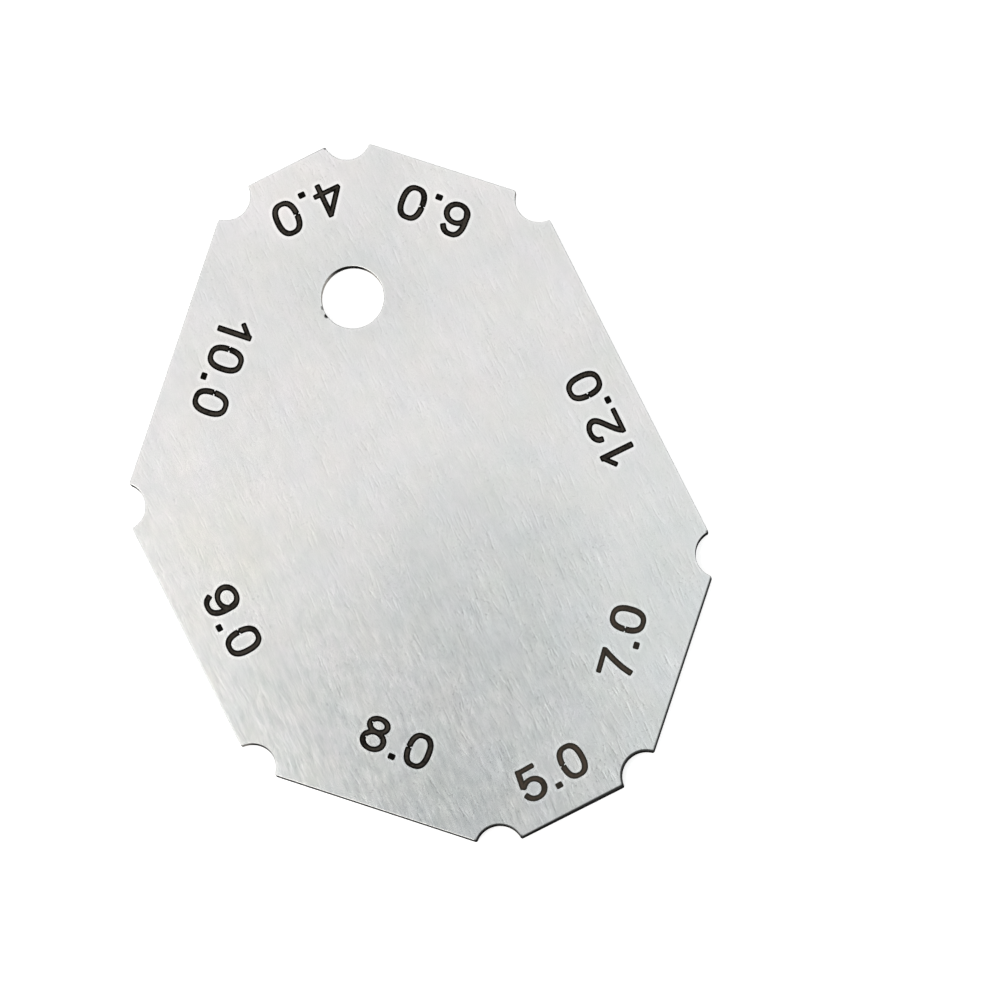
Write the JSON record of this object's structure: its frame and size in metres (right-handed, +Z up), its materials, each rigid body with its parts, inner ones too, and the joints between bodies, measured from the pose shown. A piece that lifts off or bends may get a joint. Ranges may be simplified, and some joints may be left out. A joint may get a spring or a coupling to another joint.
{
  "type": "fillet weld gauge",
  "caption": "Flat many-sided steel fillet weld gauge: each straight side checks one weld throat, with round corner reliefs and a hanging hole.",
  "frame": {"origin": "middle of the plate's outline box, on its plain face", "axes": "+Z up out of the marked face, +Y towards the side marked 4.0, +X towards the side marked 12.0"},
  "size_m": [0.031, 0.043, 0.001],
  "materials": {
    "satin_stainless": "fine satin brushing along +Y on both faces, dark laser-cut walls",
    "laser_mark": "matt dark brown-black oxide of the laser-marked size numbers on the upper face"
  },
  "bodies": {
    "root": {"gauge_plate": "satin_stainless"}
  },
  "joints": []
}
